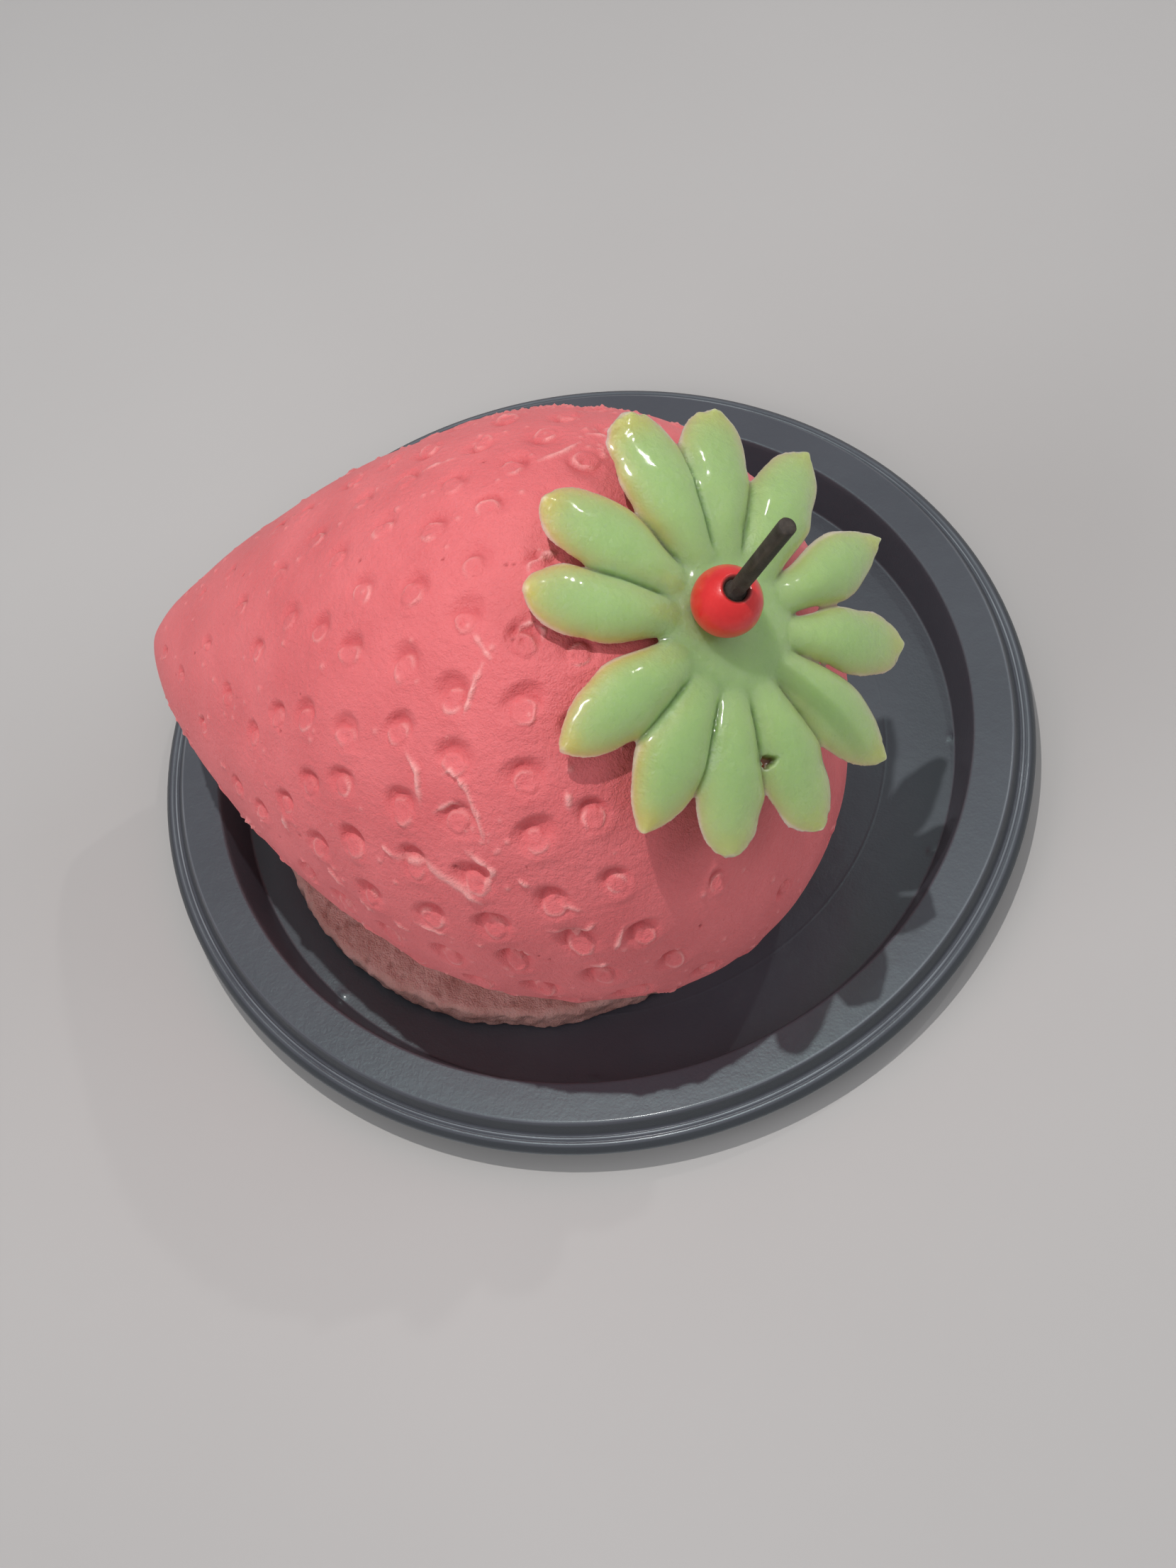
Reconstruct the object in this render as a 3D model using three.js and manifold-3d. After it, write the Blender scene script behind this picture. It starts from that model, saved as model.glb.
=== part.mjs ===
// Strawberry-shaped mousse cake on a round black pastry tray.
// Millimetres, +Z up. The origin is the centre of the tray's underside.
// The fruit lies on its side: its tip points towards -X, and its leafy end faces +X and up.
import * as THREE from "three";
import { mergeVertices } from "three/addons/utils/BufferGeometryUtils.js";
import Module from "manifold-3d";

const { sin, cos, PI, abs, min, max, pow } = Math;
const DEG = PI / 180;

// Driving dimensions

const GAP = 0.3; // left between pieces that touch or pass through each other

const tray = {
  radius: 60, // outer edge of the skirt
  sheet: 0.7, // thickness of the pressed sheet
  floorRadius: 49.4,
  ledgeInner: 51.8, // flat ledge that a lid would rest on
  ledgeOuter: 56.8,
  ledgeHeight: 7.6,
  flangeRadius: 59.2, // low outer flange, below the ledge
  flangeHeight: 5.7,
  skirtBottom: 4.6,
  steps: 72,
};

const biscuit = {
  radius: 36,
  thickness: 4.4,
  edge: 0.8, // rounding of its top and bottom edges
  centre: [-5.4, -7.7],
  steps: 48,
};

// The mousse is a long egg on a curved centre line. Share 0 is the leafy pole, share 1 the tip.
const fruit = {
  length: 87,
  halfWidth: 34.7,
  heightRatio: 1.04, // height of a section over its width
  widest: 0.35, // share of the length where it is widest
  widestPoint: [4.7, -12.8, 34.3],
  slope: -12.3 * DEG, // rise of the centre line towards the tip, at the widest section
  bend: 28.5 * DEG, // how much that rise changes from pole to tip
  poleRoundness: 2.54,
  tipRoundness: 1.66,
  tipSlimness: 0.76,
  rings: 30,
  steps: 48,
};

const calyx = {
  // turn of each petal from the downhill direction, in degrees
  petals: [-35, -8, 25, 54, 84, 118, 141, 174, 200, 241, 268, 294],
  tipRadius: 24,
  slitRadius: 12, // where the slits between the petals end
  petalWidth: 8.4,
  thickness: 2.6,
  edgeThickness: 1.2,
  hubRadius: 9, // the thick middle that sits on the mousse
  hubDepth: 2.2,
  centre: [26.5, -13.9, 59.9],
  normalElevation: 48.9 * DEG,
  normalAzimuth: -9.2 * DEG,
  rings: 8,
  steps: 144,
};

const bead = { radius: 3.75, steps: 28 };

const pick = {
  radius: 0.9,
  above: 18.5, // from the bead's centre to the free end
  below: 30, // from the bead's centre down into the mousse
  elevation: 66 * DEG,
  azimuth: -12 * DEG,
  beadCentre: [27.5, -14.6, 66.1],
};

// Shared helpers

const wasm = await Module();
wasm.setup();

function direction(azimuth, elevation) {
  return new THREE.Vector3(
    cos(elevation) * cos(azimuth),
    cos(elevation) * sin(azimuth),
    sin(elevation),
  );
}

// A closed skin over rings of points. The first and last rings are single points, the poles.
function skin(rings) {
  const points = rings.flat();
  const starts = [];
  let start = 0;
  for (const ring of rings) {
    starts.push(start);
    start += ring.length;
  }
  const count = rings[1].length;
  const faces = [];
  for (let k = 0; k < count; k++) {
    const next = (k + 1) % count;
    faces.push(0, starts[1] + k, starts[1] + next);
    const last = starts.length - 1;
    faces.push(starts[last], starts[last - 1] + next, starts[last - 1] + k);
    for (let i = 1; i < last - 1; i++) {
      const [a, b] = [starts[i], starts[i + 1]];
      faces.push(a + k, b + k, b + next);
      faces.push(a + k, b + next, a + next);
    }
  }
  const position = new THREE.Float32BufferAttribute(points.flatMap((p) => p.toArray()), 3);
  return new THREE.BufferGeometry().setAttribute("position", position).setIndex(faces);
}

// A profile of [radius, height] points turned about +Z.
function turned(profile, steps) {
  const points = profile.map(([r, z]) => new THREE.Vector2(r, z));
  return new THREE.LatheGeometry(points, steps).rotateX(PI / 2);
}

function toSolid(geometry) {
  const bare = geometry.clone();
  bare.deleteAttribute("normal");
  bare.deleteAttribute("uv");
  const merged = mergeVertices(bare, 1e-4);
  return new wasm.Manifold(
    new wasm.Mesh({
      numProp: 3,
      vertProperties: new Float32Array(merged.attributes.position.array),
      triVerts: new Uint32Array(merged.index.array),
    }),
  );
}

function toGeometry(solid) {
  const mesh = solid.getMesh();
  const geometry = new THREE.BufferGeometry();
  geometry.setAttribute("position", new THREE.Float32BufferAttribute(mesh.vertProperties, 3));
  geometry.setIndex(new THREE.BufferAttribute(mesh.triVerts, 1));
  geometry.computeVertexNormals();
  return geometry;
}

// Tray

function trayGeometry() {
  const t = tray.sheet;
  const { floorRadius, ledgeInner, ledgeOuter, ledgeHeight, flangeRadius, flangeHeight } = tray;
  const top = [
    [0, t],
    [floorRadius, t],
    [floorRadius + 0.9, t + 0.8],
    [ledgeInner - 0.5, ledgeHeight - 0.6],
    [ledgeInner, ledgeHeight - 0.1],
    [ledgeOuter - 0.4, ledgeHeight],
    [ledgeOuter + 0.3, ledgeHeight - 0.4],
    [flangeRadius - 1.0, flangeHeight + 0.1],
    [flangeRadius, flangeHeight],
    [flangeRadius + 0.4, flangeHeight - 0.4],
    [tray.radius, tray.skirtBottom],
  ];
  const under = [
    [tray.radius - t, tray.skirtBottom],
    [flangeRadius - 0.4, flangeHeight - t],
    [flangeRadius - 1.2, flangeHeight - t + 0.1],
    [ledgeOuter - 0.3, ledgeHeight - t - 0.2],
    [ledgeInner + 0.4, ledgeHeight - t - 0.1],
    [ledgeInner, ledgeHeight - t - 0.5],
    [floorRadius + 1.4, 0.9],
    [floorRadius + 0.4, 0],
    [0, 0],
  ];
  return turned([...top, ...under].reverse(), tray.steps);
}

// Biscuit

const biscuitTop = tray.sheet + biscuit.thickness;

function biscuitGeometry() {
  const { radius, edge } = biscuit;
  const low = tray.sheet;
  const profile = [
    [0, low],
    [radius - edge, low],
    [radius, low + edge],
    [radius, biscuitTop - edge],
    [radius - edge, biscuitTop],
    [0, biscuitTop],
  ];
  return turned(profile, biscuit.steps).translate(...biscuit.centre, 0);
}

// Mousse body

function fruitRadius(share) {
  const f = fruit;
  if (share < f.widest) {
    const back = (f.widest - share) / f.widest;
    return f.halfWidth * pow(1 - pow(back, f.poleRoundness), 1 / f.poleRoundness);
  }
  const forward = (share - f.widest) / (1 - f.widest);
  return f.halfWidth * pow(max(0, 1 - pow(forward, f.tipRoundness)), f.tipSlimness);
}

function fruitPoint(share, angle, grow = 0) {
  const f = fruit;
  const rise = f.slope + f.bend * (share - f.widest);
  const arc = f.length / f.bend;
  const [x, y, z] = f.widestPoint;
  const along = -arc * (sin(rise) - sin(f.slope));
  const up = -arc * (cos(rise) - cos(f.slope));
  const radius = fruitRadius(share) + grow;
  const lift = radius * f.heightRatio * sin(angle);
  return new THREE.Vector3(
    x + along + lift * sin(rise),
    y + radius * cos(angle),
    z + up + lift * cos(rise),
  );
}

function fruitSkin(grow) {
  const rings = [];
  for (let i = 0; i <= fruit.rings; i++) {
    const share = 0.5 - 0.5 * cos((PI * i) / fruit.rings);
    const isPole = i === 0 || i === fruit.rings;
    const ring = [];
    for (let k = 0; k < (isPole ? 1 : fruit.steps); k++) {
      ring.push(fruitPoint(share, (2 * PI * k) / fruit.steps, isPole ? 0 : grow));
    }
    rings.push(ring);
  }
  const outward = direction(0, -fruit.slope);
  rings[0][0].addScaledVector(outward, grow);
  rings.at(-1)[0].addScaledVector(outward, -grow);
  return skin(rings);
}

// Everything below the biscuit's top is cut away: the flat face that the mould's opening leaves.
function mousseSolid() {
  const cutTop = biscuitTop + GAP;
  const block = new THREE.BoxGeometry(200, 200, 100).translate(0, 0, cutTop - 50);
  return toSolid(fruitSkin(0)).subtract(toSolid(block)).subtract(pickHole());
}

// Pick and bead

const pickAxis = direction(pick.azimuth, pick.elevation);

function alongPick(geometry) {
  const turn = new THREE.Quaternion().setFromUnitVectors(new THREE.Vector3(0, 0, 1), pickAxis);
  return geometry.applyQuaternion(turn).translate(...pick.beadCentre);
}

function pickGeometry() {
  const { radius, above, below } = pick;
  const point = [
    [0, -below],
    [radius, -below + 5],
    [radius, above - 0.3],
    [radius - 0.3, above],
    [0, above],
  ];
  return alongPick(turned(point, 16));
}

function pickHole() {
  const reach = pick.below + 1.5;
  const hole = [
    [0, -reach],
    [pick.radius + GAP, -reach + 4],
    [pick.radius + GAP, reach],
    [0, reach],
  ];
  return toSolid(alongPick(turned(hole, 16)));
}

function beadSolid() {
  const ball = new THREE.SphereGeometry(bead.radius, bead.steps, bead.steps / 2).rotateX(PI / 2);
  return toSolid(alongPick(ball)).subtract(pickHole());
}

// Calyx: one moulded star of blunt petals, thick at the hub and thin at its edge

// Half the width of a petal at this distance from the hub's centre.
function petalHalfWidth(radius) {
  const back = (calyx.tipRadius - radius) / (calyx.tipRadius - calyx.slitRadius);
  return (calyx.petalWidth / 2) * pow(min(1, 1.6 * back), 0.5);
}

// How far the star reaches at this angle.
function starReach(angle) {
  const turns = calyx.petals.map((petal) => abs(angle - petal * DEG));
  const offset = min(...turns, ...turns.map((turn) => abs(2 * PI - turn)));
  let radius = calyx.tipRadius;
  while (radius > calyx.slitRadius && radius * sin(offset) > petalHalfWidth(radius)) {
    radius -= 0.05;
  }
  return radius;
}

function calyxSolid() {
  const { rings: rows, steps, thickness, edgeThickness, hubRadius, hubDepth } = calyx;
  const top = [[new THREE.Vector3(0, 0, thickness / 2)]];
  const bottom = [[new THREE.Vector3(0, 0, -thickness / 2 - hubDepth)]];
  for (let i = 1; i <= rows; i++) {
    const share = i / rows;
    const half = (thickness + (edgeThickness - thickness) * pow(share, 4)) / 2;
    const upper = [];
    const lower = [];
    for (let k = 0; k < steps; k++) {
      const angle = (2 * PI * k) / steps;
      const radius = starReach(angle) * share;
      const hub = hubDepth * max(0, 1 - pow(radius / hubRadius, 2));
      const [across, along] = [radius * cos(angle), radius * sin(angle)];
      upper.push(new THREE.Vector3(across, along, half));
      lower.push(new THREE.Vector3(across, along, -half - hub));
    }
    top.push(upper);
    bottom.push(lower);
  }
  const star = skin([...top, ...bottom.reverse()]);
  const normal = direction(calyx.normalAzimuth, calyx.normalElevation);
  const downhill = new THREE.Vector3(0, 1, 0).cross(normal).normalize();
  const sideways = normal.clone().cross(downhill);
  star.applyMatrix4(new THREE.Matrix4().makeBasis(downhill, sideways, normal));
  star.translate(...calyx.centre);
  return toSolid(star).subtract(toSolid(fruitSkin(GAP))).subtract(pickHole());
}

// Assembly

const finishes = {
  tray: { color: 0x2b2d31, roughness: 0.45, metalness: 0 },
  biscuit: { color: 0xb98a6a, roughness: 0.9, metalness: 0 },
  mousse_body: { color: 0xe0525a, roughness: 0.85, metalness: 0 },
  calyx: { color: 0x86b05a, roughness: 0.2, metalness: 0 },
  bead: { color: 0xd4161a, roughness: 0.25, metalness: 0 },
  pick: { color: 0x1c1815, roughness: 0.6, metalness: 0 },
};

const shapes = {
  tray: trayGeometry(),
  biscuit: biscuitGeometry(),
  mousse_body: toGeometry(mousseSolid()),
  calyx: toGeometry(calyxSolid()),
  bead: toGeometry(beadSolid()),
  pick: pickGeometry(),
};

const cake = new THREE.Group();
for (const [name, geometry] of Object.entries(shapes)) {
  const mesh = new THREE.Mesh(geometry, new THREE.MeshStandardMaterial(finishes[name]));
  mesh.name = name;
  cake.add(mesh);
}

export default cake;
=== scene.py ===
"""A strawberry-shaped mousse cake with a gel calyx and a beaded pick, on a biscuit in a black tray.

Lengths in the making functions are millimetres, in the part's own frame, and become metres when a
mesh is stored. The fruit's tip points towards -X and its leafy end faces +X and up.
"""

import math

import bpy
import numpy as np
from mathutils import Matrix, Vector
from mathutils.bvhtree import BVHTree


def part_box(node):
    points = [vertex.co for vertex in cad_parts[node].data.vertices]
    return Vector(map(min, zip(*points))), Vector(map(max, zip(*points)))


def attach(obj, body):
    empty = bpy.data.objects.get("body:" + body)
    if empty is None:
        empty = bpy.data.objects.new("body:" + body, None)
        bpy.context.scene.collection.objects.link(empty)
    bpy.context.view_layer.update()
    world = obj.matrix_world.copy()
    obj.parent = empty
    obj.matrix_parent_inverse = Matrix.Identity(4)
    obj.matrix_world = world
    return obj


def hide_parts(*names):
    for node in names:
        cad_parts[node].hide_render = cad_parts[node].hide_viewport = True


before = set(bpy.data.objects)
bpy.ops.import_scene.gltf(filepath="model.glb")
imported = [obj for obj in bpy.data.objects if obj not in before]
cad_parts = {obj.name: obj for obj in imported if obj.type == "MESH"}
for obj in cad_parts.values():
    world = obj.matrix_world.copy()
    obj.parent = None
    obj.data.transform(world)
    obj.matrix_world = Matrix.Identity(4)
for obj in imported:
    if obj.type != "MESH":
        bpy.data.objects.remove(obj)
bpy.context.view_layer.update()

MM = 0.001
DEG = math.pi / 180


def node_box(node):
    """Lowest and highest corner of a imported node, in millimetres."""
    low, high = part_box(node)
    return np.array(low) / MM, np.array(high) / MM


def direction(azimuth, elevation):
    """Unit vector from an azimuth and an elevation in degrees."""
    flat = math.cos(elevation * DEG)
    return np.array(
        [
            flat * math.cos(azimuth * DEG),
            flat * math.sin(azimuth * DEG),
            math.sin(elevation * DEG),
        ]
    )


def unit(vectors):
    return vectors / np.linalg.norm(vectors, axis=-1, keepdims=True)


# -------- number helpers


def smooth_step(low, high, value):
    """0 below low, 1 above high, and a smooth rise between."""
    share = np.clip((value - low) / (high - low), 0, 1)
    return share * share * (3 - 2 * share)


def lumps(points, size, seed):
    """Smooth random hills and hollows of about this size, from -1 to 1, at each point."""
    cell = points / size
    low = np.floor(cell).astype(np.int64)
    part = cell - low
    ease = part * part * part * (part * (part * 6 - 15) + 10)
    total = np.zeros(len(points))
    for corner in np.ndindex(2, 2, 2):
        spot = low + np.array(corner)
        code = spot[:, 0] * 73856093 ^ spot[:, 1] * 19349663 ^ spot[:, 2] * 83492791
        code = (code + seed * 1013904223) & 0x7FFFFFFF
        code = ((code ^ (code >> 13)) * 1274126177) & 0x7FFFFFFF
        code = ((code ^ (code >> 16)) * 668265263) & 0x7FFFFFFF
        value = (code & 0xFFFF) / 32767.5 - 1
        share = np.where(np.array(corner) == 1, ease, 1 - ease)
        total += value * share.prod(axis=1)
    return total


def rough(points, size, seed):
    """Three layers of lumps, each half the size of the last and not as high."""
    fall = 0.6
    return sum(fall**k * lumps(points, size / 2**k, seed + 17 * k) for k in range(3))


# -------- mesh helpers


def outward(points, faces):
    """The faces, all turned round if they would enclose a negative volume."""
    total = 0.0
    by_size = {}
    for face in faces:
        by_size.setdefault(len(face), []).append(face)
    for size, group in by_size.items():
        corners = points[np.array(group)]
        for i in range(1, size - 1):
            cross = np.cross(corners[:, i], corners[:, i + 1])
            total += (corners[:, 0] * cross).sum()
    return faces if total > 0 else [face[::-1] for face in faces]


def store(name, points, faces, material, masks=None, smooth=True):
    """Makes an object from millimetre points. masks are per-point values its material reads."""
    if smooth:
        faces = outward(points, faces)
    mesh = bpy.data.meshes.new(name)
    mesh.from_pydata((points * MM).tolist(), [], faces)
    mesh.polygons.foreach_set("use_smooth", [smooth] * len(mesh.polygons))
    for key, values in (masks or {}).items():
        layer = mesh.attributes.new(key, "FLOAT", "POINT")
        layer.data.foreach_set("value", np.asarray(values, dtype=np.float32))
    mesh.materials.append(material)
    mesh.update()
    return add_object(name, mesh)


def band_faces(rows, steps, start=0):
    """Quads between rows of points that close on themselves."""
    faces = []
    for i in range(rows - 1):
        a = start + i * steps
        b = a + steps
        faces += [(a + k, b + k, b + (k + 1) % steps, a + (k + 1) % steps) for k in range(steps)]
    return faces


def capped_faces(rows, steps):
    """Quads over rows of points, closed by one pole before them and one after."""
    last = 1 + rows * steps
    faces = [(0, 1 + k, 1 + (k + 1) % steps) for k in range(steps)]
    faces += band_faces(rows, steps, 1)
    base = last - steps
    faces += [(last, base + (k + 1) % steps, base + k) for k in range(steps)]
    return faces


def turned_points(profile, steps):
    """Rows of points from a profile of (radius, height) turned about +Z."""
    profile = np.array(profile, float)
    angle = np.arange(steps) * (2 * math.pi / steps)
    ring = np.stack([np.cos(angle), np.sin(angle)], axis=-1)
    flat = profile[:, None, 0:1] * ring[None]
    height = np.broadcast_to(profile[:, None, 1:2], flat.shape[:2] + (1,))
    return np.concatenate([flat, height], axis=-1).reshape(-1, 3)


def rounded(corners, radius, steps=5):
    """A profile with its inner corners rounded off."""
    corners = [np.array(c, float) for c in corners]
    made = [corners[0]]
    for before, corner, after in zip(corners, corners[1:], corners[2:]):
        reach = min(
            radius, 0.45 * np.linalg.norm(before - corner), 0.45 * np.linalg.norm(after - corner)
        )
        start = corner + reach * unit(before - corner)
        end = corner + reach * unit(after - corner)
        for i in range(steps + 1):
            t = i / steps
            made.append((1 - t) ** 2 * start + 2 * t * (1 - t) * corner + t * t * end)
    made.append(corners[-1])
    return made


def level_out(points):
    """Level unit vectors away from the Z axis."""
    return unit(points * np.array([1, 1, 0]) + 1e-9)


def along_axis(points, axis, centre):
    """Turns +Z-up points onto another axis and moves them to a centre."""
    turn = Vector((0, 0, 1)).rotation_difference(Vector(axis)).to_matrix()
    return points @ np.array(turn).T + centre


def add_object(name, data):
    made = bpy.data.objects.new(name, data)
    bpy.context.scene.collection.objects.link(made)
    return made


# -------- node groups


def new_group(name, inputs, outputs):
    """A shader node group with its sockets. inputs: (kind, name, default)."""
    group = bpy.data.node_groups.new(name, "ShaderNodeTree")
    for kind, label, default in inputs:
        socket = group.interface.new_socket(label, in_out="INPUT", socket_type="NodeSocket" + kind)
        socket.default_value = default
    for kind, label in outputs:
        group.interface.new_socket(label, in_out="OUTPUT", socket_type="NodeSocket" + kind)
    return group, group.nodes.new("NodeGroupInput"), group.nodes.new("NodeGroupOutput")


def feed(tree, socket, value):
    """Links another node's socket to this one, or sets it to a number or an (r, g, b) colour."""
    if isinstance(value, bpy.types.NodeSocket):
        tree.links.new(value, socket)
    else:
        socket.default_value = (*value, 1) if isinstance(value, tuple) else value


def math_node(tree, operation, first, second):
    node = tree.nodes.new("ShaderNodeMath")
    node.operation = operation
    feed(tree, node.inputs[0], first)
    feed(tree, node.inputs[1], second)
    return node.outputs[0]


# A mix node has a set of sockets for each kind of value; these are the ones for colours.
MIX_FIRST, MIX_SECOND, MIX_RESULT = 6, 7, 2


def blend_colours(tree, share, first, second):
    """Mixes two colours, each a socket or an (r, g, b) value."""
    node = tree.nodes.new("ShaderNodeMix")
    node.data_type = "RGBA"
    feed(tree, node.inputs["Factor"], share)
    feed(tree, node.inputs[MIX_FIRST], first)
    feed(tree, node.inputs[MIX_SECOND], second)
    return node.outputs[MIX_RESULT]


def noise_at(tree, scale, detail, roughness=0.5):
    """Noise over the object's own coordinates; scale is in waves per metre."""
    place = tree.nodes.new("ShaderNodeTexCoord").outputs["Object"]
    node = tree.nodes.new("ShaderNodeTexNoise")
    feed(tree, node.inputs["Vector"], place)
    feed(tree, node.inputs["Scale"], scale)
    feed(tree, node.inputs["Detail"], detail)
    feed(tree, node.inputs["Roughness"], roughness)
    return node.outputs["Fac"]


def ramp(tree, value, stops):
    """Values between 0 and 1 remapped by (position, grey) stops."""
    node = tree.nodes.new("ShaderNodeValToRGB")
    tree.links.new(value, node.inputs["Fac"])
    ends = node.color_ramp.elements
    while len(ends) < len(stops):
        ends.new(0.5)
    for end, (position, grey) in zip(ends, stops):
        end.position = position
        end.color = (grey, grey, grey, 1)
    return node.outputs["Color"]


def make_mottle_group():
    """Two sizes of soft blotches between two colours."""
    group, source, sink = new_group(
        "mottle",
        [
            ("Color", "Dark", (0, 0, 0, 1)),
            ("Color", "Light", (1, 1, 1, 1)),
            ("Float", "Blotch Scale", 150.0),
            ("Float", "Speck Scale", 1500.0),
            ("Float", "Speck Share", 0.3),
        ],
        [("Color", "Color"), ("Float", "Mask")],
    )
    blotch = noise_at(group, source.outputs["Blotch Scale"], 3)
    speck = noise_at(group, source.outputs["Speck Scale"], 2)
    spread = math_node(group, "SUBTRACT", speck, 0.5)
    spread = math_node(group, "MULTIPLY", spread, source.outputs["Speck Share"])
    mask = math_node(group, "ADD", ramp(group, blotch, [(0.3, 0), (0.7, 1)]), spread)
    colour = blend_colours(group, mask, source.outputs["Dark"], source.outputs["Light"])
    group.links.new(colour, sink.inputs["Color"])
    group.links.new(mask, sink.inputs["Mask"])
    return group


def make_grain_group():
    """Height of a fine grain in two sizes."""
    group, source, sink = new_group(
        "grain",
        [
            ("Float", "Coarse Scale", 900.0),
            ("Float", "Fine Scale", 4000.0),
            ("Float", "Fine Share", 0.5),
        ],
        [("Float", "Height")],
    )
    coarse = noise_at(group, source.outputs["Coarse Scale"], 2)
    fine = noise_at(group, source.outputs["Fine Scale"], 2)
    fine = math_node(group, "MULTIPLY", fine, source.outputs["Fine Share"])
    group.links.new(math_node(group, "ADD", coarse, fine), sink.inputs["Height"])
    return group


def make_scuffs_group():
    """A mask for faint scuffs and dust: thin smears broken up by larger patches."""
    group, source, sink = new_group(
        "scuffs",
        [("Float", "Smear Scale", 300.0), ("Float", "Patch Scale", 60.0)],
        [("Float", "Mask")],
    )
    smear = noise_at(group, source.outputs["Smear Scale"], 6, 0.7)
    patch = noise_at(group, source.outputs["Patch Scale"], 2)
    smear = ramp(group, smear, [(0.5, 0), (0.72, 1)])
    patch = ramp(group, patch, [(0.4, 0), (0.65, 1)])
    group.links.new(math_node(group, "MULTIPLY", smear, patch), sink.inputs["Mask"])
    return group


MOTTLE = make_mottle_group()
GRAIN = make_grain_group()
SCUFFS = make_scuffs_group()


def place_group(tree, group, **values):
    """Puts a group into a material. Value names use _ for a space."""
    node = tree.nodes.new("ShaderNodeGroup")
    node.node_tree = group
    for label, value in values.items():
        feed(tree, node.inputs[label.replace("_", " ")], value)
    return node


def new_material(name, **settings):
    """A material with one Principled BSDF, its constants set on its own sockets."""
    material = bpy.data.materials.new(name)
    material.use_nodes = True
    tree = material.node_tree
    shader = tree.nodes["Principled BSDF"]
    for label, value in settings.items():
        shader.inputs[label.replace("_", " ")].default_value = value
    return material, tree, shader


def mask_of(tree, name):
    """A per-point value that was stored with the mesh."""
    node = tree.nodes.new("ShaderNodeAttribute")
    node.attribute_name = name
    return node.outputs["Fac"]


def mottled(tree, dark, light, blotch, speck, share):
    """A mottled colour and its mask. blotch and speck are scales, in waves per metre."""
    scales = {"Blotch_Scale": blotch, "Speck_Scale": speck, "Speck_Share": share}
    node = place_group(tree, MOTTLE, Dark=dark, Light=light, **scales)
    return node.outputs["Color"], node.outputs["Mask"]


def tinted(tree, colour, mask, share, tint):
    """Mixes this share of a tint into a colour where a mask is. A name is a stored mask's."""
    if isinstance(mask, str):
        mask = mask_of(tree, mask)
    return blend_colours(tree, math_node(tree, "MULTIPLY", mask, share), colour, tint)


def add_roughness(tree, shader, mask, low, high, shine=0.0):
    """Roughness from low to high as a mask goes from 0 to 1, less whatever shine is."""
    value = math_node(tree, "ADD", math_node(tree, "MULTIPLY", mask, high - low), low)
    feed(tree, shader.inputs["Roughness"], math_node(tree, "SUBTRACT", value, shine))


def add_grain(tree, shader, coarse, fine, share, depth):
    """A fine grain of bumps this many metres deep; coarse and fine are in waves per metre."""
    grain = place_group(tree, GRAIN, Coarse_Scale=coarse, Fine_Scale=fine, Fine_Share=share)
    bump = tree.nodes.new("ShaderNodeBump")
    bump.inputs["Strength"].default_value = 1.0
    bump.inputs["Distance"].default_value = depth
    tree.links.new(grain.outputs["Height"], bump.inputs["Height"])
    tree.links.new(bump.outputs["Normal"], shader.inputs["Normal"])


# -------- materials


def velvet_coating():
    """Matt sprayed cocoa-butter coating, paler on thin ridges partly as a painted highlight, with
    painted shade in pits and dips.
    """
    material, tree, shader = new_material(
        "velvet_coating",
        Subsurface_Weight=0.12,
        Subsurface_Radius=(1.0, 0.35, 0.25),
        Subsurface_Scale=0.0018,
        Specular_IOR_Level=0.42,
        Sheen_Weight=0.04,
        Sheen_Roughness=0.5,
    )
    colour, mask = mottled(
        tree, (0.7, 0.138, 0.148), (0.79, 0.178, 0.188), blotch=110, speck=2600, share=0.5
    )
    # Ridges, seed rims and crumbs are painted paler: partly the thinner coating, partly a painted
    # highlight.
    colour = tinted(tree, colour, "ridge", 0.6, (0.98, 0.5, 0.47))
    # Painted shade in the upper side of each seed's dip and in the crescent above the seed.
    colour = tinted(tree, colour, "dip_shade", 0.42, (0.5, 0.055, 0.065))
    # Painted shade in bubble pits and in the crescents near the tip.
    colour = tinted(tree, colour, "pit_shade", 0.8, (0.3, 0.03, 0.035))
    tree.links.new(colour, shader.inputs["Base Color"])
    shine = math_node(tree, "MULTIPLY", mask_of(tree, "ridge"), 0.3)
    add_roughness(tree, shader, mask, 0.52, 0.66, shine)
    add_grain(tree, shader, coarse=1500, fine=5200, share=0.6, depth=0.0002)
    return material


def green_gel():
    """Glossy translucent gel, yellower where thin and orange over the fruit as painted light
    through it, with painted shade in the grooves and the tear and a painted highlight along its
    rim.
    """
    material, tree, shader = new_material(
        "green_gel",
        Subsurface_Weight=1.0,
        Subsurface_Radius=(0.9, 1.0, 0.45),
        Subsurface_Scale=0.008,
        Specular_IOR_Level=0.35,
        Coat_Weight=0.95,
        Coat_Roughness=0.11,
    )
    colour, mask = mottled(
        tree, (0.312, 0.472, 0.186), (0.35, 0.51, 0.208), blotch=90, speck=2400, share=0.35
    )
    # Painted light showing through the thin gel at the edges and tips.
    colour = tinted(tree, colour, "thin", 0.7, (0.4, 0.42, 0.1))
    # Painted shade in the grooves between petals.
    colour = tinted(tree, colour, "groove", 0.75, (0.12, 0.24, 0.06))
    # Painted orange bounce light from the pink fruit on the thin edges over it.
    colour = tinted(tree, colour, "fruit_bounce_glow", 0.6, (0.55, 0.34, 0.06))
    # A painted highlight along the petals' rim.
    colour = tinted(tree, colour, "rim", 0.5, (0.75, 0.78, 0.5))
    # Painted shade inside the tear.
    colour = tinted(tree, colour, "tear", 1.0, (0.045, 0.018, 0.01))
    tree.links.new(colour, shader.inputs["Base Color"])
    add_roughness(tree, shader, mask, 0.4, 0.52)
    add_grain(tree, shader, coarse=1100, fine=2400, share=0.3, depth=0.00021)
    return material


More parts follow.
